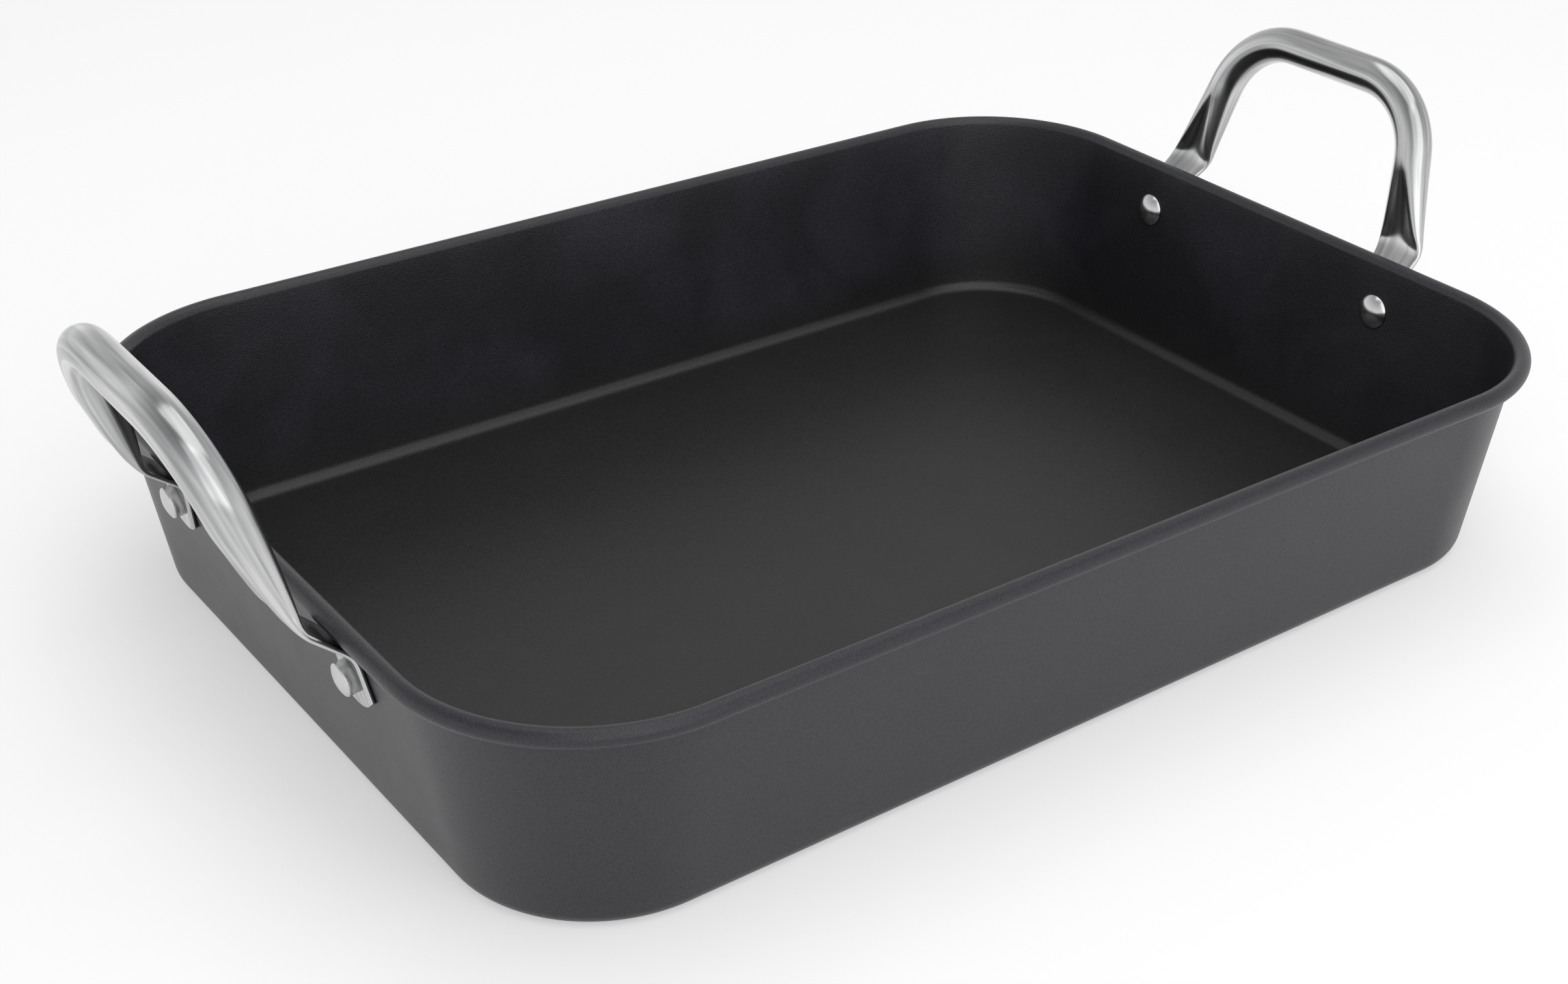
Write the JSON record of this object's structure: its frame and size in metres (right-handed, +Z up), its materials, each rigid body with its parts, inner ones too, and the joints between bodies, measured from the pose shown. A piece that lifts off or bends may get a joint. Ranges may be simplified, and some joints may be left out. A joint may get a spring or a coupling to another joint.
{
  "type": "roasting pan",
  "caption": "Rectangular roasting pan with leaning walls, rounded corners and a rolled rim, and an upright bent-tube handle riveted to each short wall.",
  "frame": {"origin": "on the ground, under the middle of the pan's floor", "axes": "+X runs from the left handle to the right one, +Y from the front long wall to the back one, +Z up"},
  "size_m": [0.465, 0.301, 0.13],
  "materials": {
    "coated_sheet": "steel sheet with a fine-grained satin non-stick coat, dark grey outside and near black inside",
    "handle_steel": "stainless tube, polished",
    "rivet_steel": "stainless rivet, polished dome and satin tail"
  },
  "bodies": {
    "root": {"pan_body": "coated_sheet", "handle_left": "handle_steel", "rivet_left_front": "rivet_steel", "rivet_left_back": "rivet_steel", "handle_right": "handle_steel", "rivet_right_front": "rivet_steel", "rivet_right_back": "rivet_steel"}
  },
  "joints": []
}
